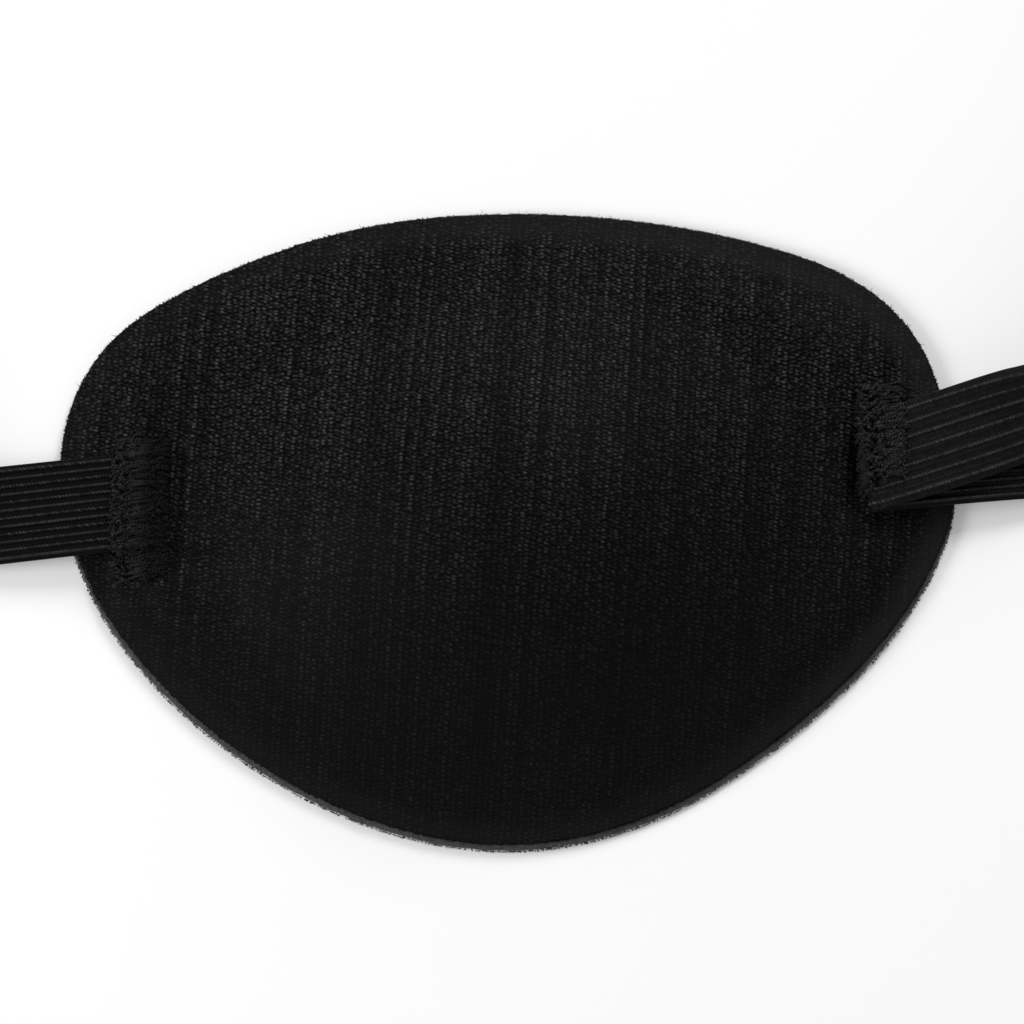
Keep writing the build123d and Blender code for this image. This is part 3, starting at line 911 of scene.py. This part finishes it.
# ---- Bar tacks: dense, uneven rows of spun black thread, sewn back and forth through the elastic and
# the pad. Stitches lie over each other at all angles near level, and turn back at both sides.
THREAD_RADIUS = 0.00013
THREAD_SIDES = 7
STITCH_SAMPLES = 9
STITCH_PITCH = 0.00023
LEFT_TACK = ((-0.0383, -0.0321), (-0.0046, 0.0086))  # from x to x, and from y to y
RIGHT_TACK = ((0.0340, 0.0387), (0.0034, 0.0142))
LEFT_BAND = (0.0027, 0.106)  # the elastic's middle where it ends, and its slope over the pad
RIGHT_BAND = (0.0059, 0.325)
FOLD_REACH = 0.00105
RIB_PULL = 0.00016  # the thread sinks between every second rib
STITCH_CLIMB = 0.10
UPPER_TOP = 0.00472
LOWER_TOP = 0.00366
EDGE_FADE = 0.0004  # the thread runs down off the elastic's edge over this length
END_FADE = 0.0006
LEFT_TACK_SHADE = (-0.0356, -0.0346)  # the left tack's thread is darkened with painted shade from x to x
OUTER_SHINE = 0.82
INNER_SHINE = 0.24

thread, tree, shader = new_material("spun thread", roughness=0.5, specular=0.05, sheen=0.02)
across, along = strand_place(tree)
strand = calculate(tree, "FLOOR", ratio(tree, across, 2 * THREAD_RADIUS))
twist = place_group(tree, cording, Across=across, Along=along, Strand=strand, Pitch=0.00030, Slant=0.55)
place = object_place(tree)
dye = dyed(tree, place, grey(0.006, 0.02), grey(0.030, 0.01), 0.0007)
# Painted light: the twist's crests carry painted highlights, and the inner half of the left tack is darkened
# with painted shade.
split = add_node(tree, "ShaderNodeSeparateXYZ", inputs={0: place})
half = {0: split.outputs["X"], 1: LEFT_TACK_SHADE[0], 2: LEFT_TACK_SHADE[1], 3: OUTER_SHINE, 4: INNER_SHINE}
painted_shade = add_node(tree, "ShaderNodeMapRange", inputs=half).outputs[0]
painted_shade = calculate(tree, "MAXIMUM", painted_shade, calculate(tree, "GREATER_THAN", split.outputs["X"], 0.0))
painted_highlight = total(tree, product(tree, twist.outputs["Light"], 2.1), 0.12)
lit = tinted(tree, dye["Color"], product(tree, painted_highlight, painted_shade))
cover(tree, shader, lit, twist.outputs["Height"], 0.8, 0.00006)


def left_ground(x, y):
    """What the left tack's thread lies on: the elastic where it is, and the face cloth beside it."""
    distance = HEAD_ROUTE[0][0] - x
    middle = LEFT_BAND[0] - LEFT_BAND[1] * distance
    over = ease((ELASTIC_WIDTH / 2 + EDGE_FADE / 2 - abs(y - middle)) / EDGE_FADE)
    over *= ease((distance + END_FADE / 2) / END_FADE)
    press = end_press(distance)
    top = LOWER_TOP - ELASTIC_THICK / 2 * (1 - press) - END_DROP * (1 - press) / (1 - END_PRESS)
    top += RIB_PULL * press * math.cos(math.pi * (y - middle) / RIB_PITCH)
    cloth = face_height(x, y, inset_of(x, y))
    return cloth + over * max(top - cloth, 0)


def right_ground(x, y):
    distance = x - FOLD_MIDDLE.x
    middle = RIGHT_BAND[0] + RIGHT_BAND[1] * max(distance, 0)
    fold_edge = FOLD_MIDDLE.x - FOLD_REACH - (y - FOLD_MIDDLE.y) * math.tan(FOLD_LEAN)
    over = ease((ELASTIC_WIDTH / 2 + EDGE_FADE - abs(y - middle)) / EDGE_FADE)
    over *= ease((x - fold_edge) / EDGE_FADE)
    cloth = face_height(x, y, inset_of(x, y))
    return cloth + over * max(UPPER_TOP - cloth, 0)


def add_stitch(mesh, points, radius):
    add_thread(mesh, points, [radius] * len(points), THREAD_SIDES)


def stitch_points(ground, start, end, rise, bow):
    """A stitch over the ground: it comes up at start, arches, and goes down at end."""
    points = []
    for k in range(STITCH_SAMPLES):
        share = k / (STITCH_SAMPLES - 1)
        arch = math.sin(math.pi * share)
        x = start[0] + (end[0] - start[0]) * share
        y = start[1] + (end[1] - start[1]) * share + bow * arch
        points.append(Vector((x, y, ground(x, y) + THREAD_RADIUS * 0.8 + rise * arch)))
    for point in (points[0], points[-1]):
        point.z -= 3 * THREAD_RADIUS
    return points


def tack_stitches(mesh, ground, spread, tilt, ragged, rise):
    """Level rows of stitches with ragged ends, then a second pass that leans more."""
    (x0, x1), (y0, y1) = spread
    count = round((y1 - y0) / STITCH_PITCH)
    for turn, stray in ((0, tilt), (1, 2.4 * tilt)):
        for k in range(count):
            y = y0 + (y1 - y0) * (k + chance.uniform(0.2, 0.8)) / count
            shorten = ragged * (1 + turn)
            climb = STITCH_CLIMB * (x1 - x0) * turn
            start = (x0 + chance.uniform(0, shorten), y - climb + chance.uniform(-stray, stray))
            end = (x1 - chance.uniform(0, shorten), y + climb + chance.uniform(-stray, stray))
            height = chance.uniform(0.2, 1.0) * rise * (1 + turn)
            radius = THREAD_RADIUS * chance.uniform(0.8, 1.1)
            points = stitch_points(ground, start, end, height, chance.uniform(-stray, stray) / 2)
            add_stitch(mesh, points, radius)


def turn_backs(mesh, ground, x, y0, y1, count, size, girth):
    """Small loops where the thread turns back at one side of a tack."""
    for k in range(count):
        y = y0 + (y1 - y0) * (k + chance.uniform(0.1, 0.9)) / count
        heading = chance.uniform(-1.1, 1.1)
        reach = size * chance.uniform(0.6, 1.2)
        start = (x + chance.uniform(-0.3, 0.3) * size, y)
        end = (start[0] + reach * math.cos(heading), y + reach * math.sin(heading))
        radius = THREAD_RADIUS * girth * chance.uniform(0.75, 1.0)
        rise = chance.uniform(0.6, 1.6) * size * 0.2 * girth
        points = stitch_points(ground, start, end, rise, chance.uniform(-0.35, 0.35) * size)
        add_stitch(mesh, points, radius)


def loose_end(mesh, ground, points, radius):
    """A thread tail that lies on the pad and rises a little at its tip."""
    line = smooth_line([(x, y, 0) for x, y in points])[:: ROUTE_SAMPLES // 4]
    lifted = []
    for k, place in enumerate(line):
        tip = 0.0004 * (k / (len(line) - 1)) ** 3
        lifted.append(Vector((place.x, place.y, ground(place.x, place.y) + radius + tip)))
    add_stitch(mesh, lifted, radius)


# Each row of turn-backs is its x, from y to y, how many, their size, and how stout their thread is.
LEFT_TURN_BACKS = [
    (-0.0381, -0.0048, -0.0014, 26, 0.0016, 1.0),
    (-0.0352, -0.0051, -0.0030, 22, 0.0015, 1.0),
    (-0.0366, 0.0072, 0.0090, 26, 0.0014, 1.0),
    (-0.0338, -0.0046, 0.0085, 70, 0.0011, 1.0),
    (-0.0350, -0.0046, 0.0085, 60, 0.0010, 1.0),
    (-0.0382, -0.0010, 0.0080, 34, 0.0009, 1.0),
    (-0.0368, -0.0040, 0.0085, 40, 0.0011, 1.0),
    (-0.0378, -0.0040, 0.0080, 30, 0.0013, 1.4),
    (-0.0343, -0.0044, 0.0084, 30, 0.0011, 1.4),
]
mesh = bmesh.new()
tack_stitches(mesh, left_ground, LEFT_TACK, tilt=0.00014, ragged=0.00035, rise=0.00012)
for row in LEFT_TURN_BACKS:
    turn_backs(mesh, left_ground, *row)
TAIL = (
    (-0.0326, -0.0016),
    (-0.0316, -0.0025),
    (-0.0309, -0.0018),
    (-0.0304, -0.0026),
    (-0.0298, -0.0020),
    (-0.0294, -0.0029),
)
loose_end(mesh, left_ground, TAIL, THREAD_RADIUS)
SECOND_TAIL = ((-0.0322, -0.0022), (-0.0314, -0.0016), (-0.0307, -0.0028), (-0.0300, -0.0024))
loose_end(mesh, left_ground, SECOND_TAIL, THREAD_RADIUS)
left_tack = finish_mesh(mesh, "left_bar_tack", thread, "patch")
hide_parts("left_tack_needle_thread")

RIGHT_ROWS = ((0.0352, 0.0387), (0.0046, 0.0140))
RIGHT_TURN_BACKS = [
    (0.0341, 0.0030, 0.0142, 50, 0.0011, 1.0),
    (0.0340, 0.0032, 0.0140, 34, 0.0013, 1.5),
    (0.0352, 0.0044, 0.0138, 34, 0.0013, 1.5),
    (0.0362, 0.0046, 0.0136, 30, 0.0012, 1.2),
    (0.0374, 0.0048, 0.0132, 40, 0.0010, 1.0),
]
mesh = bmesh.new()
tack_stitches(mesh, right_ground, RIGHT_ROWS, tilt=0.00018, ragged=0.00045, rise=0.00014)
for row in RIGHT_TURN_BACKS:
    turn_backs(mesh, right_ground, *row)
STRAY = ((0.0345, 0.0115), (0.0330, 0.0118), (0.0310, 0.0116), (0.0290, 0.0115), (0.0270, 0.0114))
loose_end(mesh, right_ground, STRAY, THREAD_RADIUS * 0.5)
right_tack = finish_mesh(mesh, "right_bar_tack", thread, "patch")
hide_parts("right_tack_needle_thread")


# ---- Bobbin stitches: the same thread on the lining's side, drawn up into the pad so that it stays
# off the skin.
BOBBIN_PITCH = 0.00042
BOBBIN_TOP = 0.00026


def bobbin_stitches(mesh, spread):
    (x0, x1), (y0, y1) = spread
    count = round((y1 - y0) / BOBBIN_PITCH)
    for k in range(count):
        y = y0 + (y1 - y0) * (k + 0.5) / count
        slip = chance.uniform(-0.00018, 0.00018)
        start = Vector((x0 + chance.uniform(0, 0.0004), y, BOBBIN_TOP + THREAD_RADIUS))
        end = Vector((x1 - chance.uniform(0, 0.0004), y + slip, BOBBIN_TOP + THREAD_RADIUS))
        points = [start.lerp(end, j / (STITCH_SAMPLES - 1)) for j in range(STITCH_SAMPLES)]
        for j, point in enumerate(points):
            arch = math.sin(math.pi * j / (STITCH_SAMPLES - 1))
            point.z -= chance.uniform(0.6, 1.0) * THREAD_RADIUS / 2 * arch
        add_stitch(mesh, points, THREAD_RADIUS * 0.9)


for side, spread in (("left", LEFT_TACK), ("right", RIGHT_TACK)):
    mesh = bmesh.new()
    bobbin_stitches(mesh, spread)
    bobbin = finish_mesh(mesh, side + "_bobbin_stitches", thread, "patch")
    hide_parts(side + "_tack_bobbin_thread")


# ---- Loop seam: short level stitches in an upright row on each face of the lead, in the same thread.
# They close its end round the slider's bar, and travel with the slider.
SEAM_STITCHES = 22
SEAM_LENGTH = 0.0022
SEAM_MIDDLE = (LOOP_MEETS + LOOP_ENDS) / 2
seam_low, seam_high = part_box("slider_seam")[0].z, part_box("slider_seam")[1].z
mesh = bmesh.new()
for side in (-1, 1):
    for k in range(SEAM_STITCHES):
        level = seam_low + (seam_high - seam_low) * (k + chance.uniform(0.2, 0.8)) / SEAM_STITCHES
        points = []
        for j in range(STITCH_SAMPLES):
            share = j / (STITCH_SAMPLES - 1)
            back_from_bar = SEAM_MIDDLE + SEAM_LENGTH * (share - 0.5)
            stand = ELASTIC_THICK * 0.9 + THREAD_RADIUS * (2.2 * math.sin(math.pi * share) - 1)
            place = BAR_PLACE - toward_bar * back_from_bar + beside * (side * stand)
            points.append(Vector((place.x, place.y, level + 0.00012 * side * (share - 0.5))))
        add_stitch(mesh, points, THREAD_RADIUS * 0.9)
loop_seam = finish_mesh(mesh, "loop_seam_stitches", thread, "adjuster")
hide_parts("slider_seam")


# ---- Slider: black moulded plastic with three upright bars between two rails. It has a satin gloss,
# uneven with the faint grain of its mould.
plastic, tree, shader = new_material("slider plastic", roughness=0.3, specular=0.5)
place = object_place(tree)
grain = noise_over(tree, place, 3800.0, 3.0)
dye = dyed(tree, place, grey(0.010), grey(0.016), 0.0025)
rough = add_node(tree, "ShaderNodeMapRange", inputs={0: grain, 1: 0.3, 2: 0.7, 3: 0.24, 4: 0.42})
tree.links.new(rough.outputs[0], shader.inputs["Roughness"])
cover(tree, shader, dye["Color"], grain, 0.15, 0.00003)
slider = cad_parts["slider"]
slider.data.materials.clear()
slider.data.materials.append(plastic)


# ---- Floor and light: a plain white table between two soft lamps, a low one at the left and a higher
# one beyond the upper right, with even light from all round.
TABLE_HALF = 1.5
TABLE_WHITE = 0.86
TABLE_GLOW = 0.15  # lifts the table to white where it is seen
ROUND_LIGHT = 0.36


def seen_share(tree):
    """1 where something is seen, straight or in a shine, and 0 where it only lights other things."""
    rays = add_node(tree, "ShaderNodeLightPath").outputs
    seen = calculate(tree, "MAXIMUM", rays["Is Camera Ray"], rays["Is Glossy Ray"])
    return calculate(tree, "MAXIMUM", seen, rays["Is Transmission Ray"])


mesh = bmesh.new()
bmesh.ops.create_grid(mesh, x_segments=1, y_segments=1, size=TABLE_HALF)
data = bpy.data.meshes.new("table_top")
mesh.to_mesh(data)
mesh.free()
table_top = bpy.data.objects.new("table_top", data)
scene.collection.objects.link(table_top)
table_paint = bpy.data.materials.new("white table")
table_paint.use_nodes = True
tree = table_paint.node_tree
shader = tree.nodes["Principled BSDF"]
shader.inputs["Base Color"].default_value = grey(TABLE_WHITE)
shader.inputs["Roughness"].default_value = 0.9
glow = add_node(tree, "ShaderNodeEmission", inputs={"Strength": product(tree, seen_share(tree), TABLE_GLOW)})
both = add_node(tree, "ShaderNodeAddShader", inputs={0: shader.outputs[0], 1: glow.outputs[0]})
tree.links.new(both.outputs[0], tree.nodes["Material Output"].inputs["Surface"])
data.materials.append(table_paint)


def add_lamp(name, place, size, power):
    lamp = bpy.data.objects.new(name, bpy.data.lights.new(name, "AREA"))
    scene.collection.objects.link(lamp)
    lamp.data.shape = "DISK"
    lamp.data.size = size
    lamp.data.energy = power
    lamp.location = place
    lamp.rotation_euler = (-Vector(place)).to_track_quat("-Z", "Y").to_euler()


add_lamp("key_lamp", (-0.60, -0.08, 0.34), 0.36, 3.2)
add_lamp("far_lamp", (0.30, 0.62, 0.50), 0.34, 3.8)
world = bpy.data.worlds.new("studio")
scene.world = world
world.use_nodes = True
tree = world.node_tree
strength = total(tree, product(tree, seen_share(tree), 1 - ROUND_LIGHT), ROUND_LIGHT)
tree.links.new(strength, tree.nodes["Background"].inputs["Strength"])
tree.nodes["Background"].inputs["Color"].default_value = (1, 1, 1, 1)
